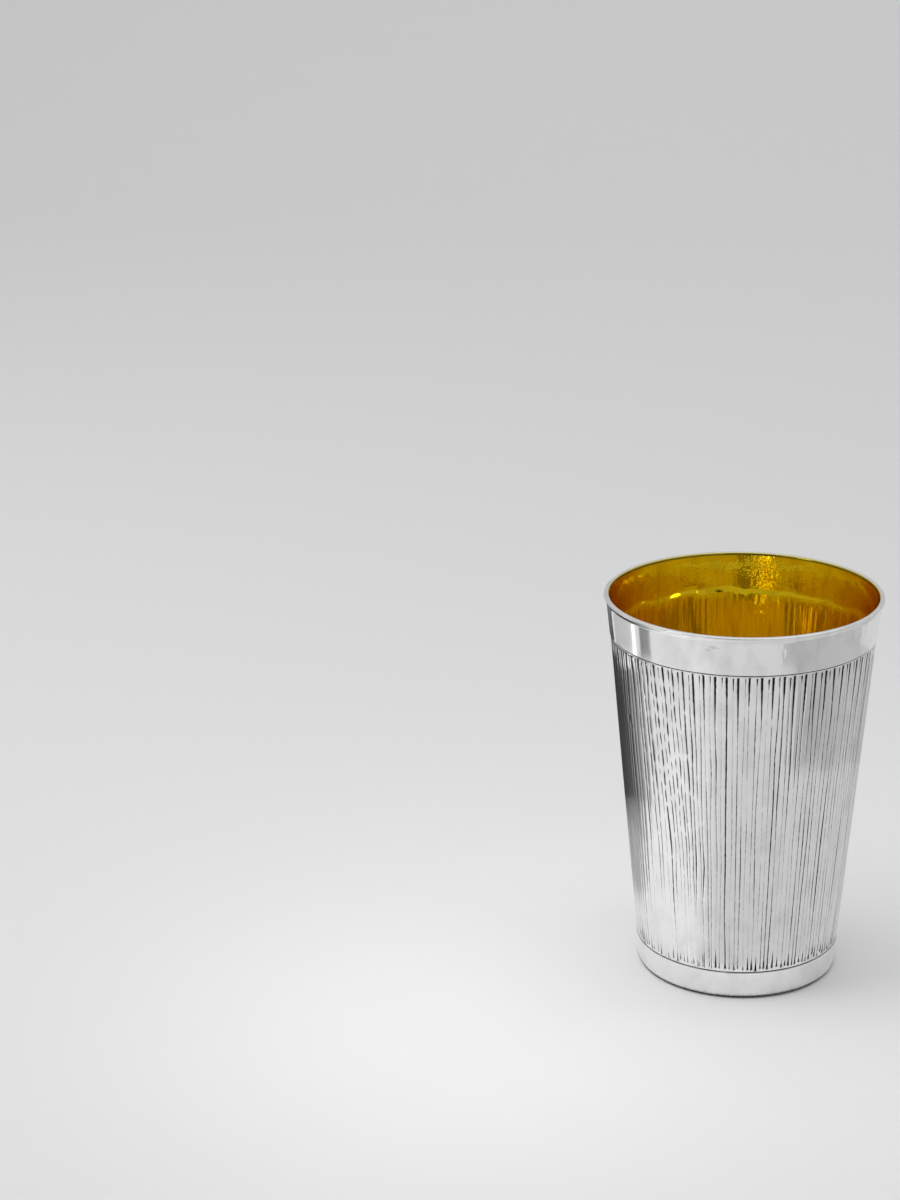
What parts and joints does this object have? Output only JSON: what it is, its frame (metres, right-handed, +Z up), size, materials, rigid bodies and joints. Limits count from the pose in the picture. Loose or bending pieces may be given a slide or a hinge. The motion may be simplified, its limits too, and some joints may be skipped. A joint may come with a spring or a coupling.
{
  "type": "kiddush cup",
  "caption": "Tapered footless silver beaker with a chased wall of upright lines between plain bands, gilt inside, for ceremonial wine.",
  "frame": {"origin": "middle of the underside, at the height of the table", "axes": "+Z up along the cup's axis, -Y towards the viewer"},
  "size_m": [0.0604, 0.0604, 0.086],
  "materials": {
    "silver": "polished silver, gilt inside, darkened in the chased lines"
  },
  "bodies": {
    "root": {"beaker": "silver"}
  },
  "joints": []
}
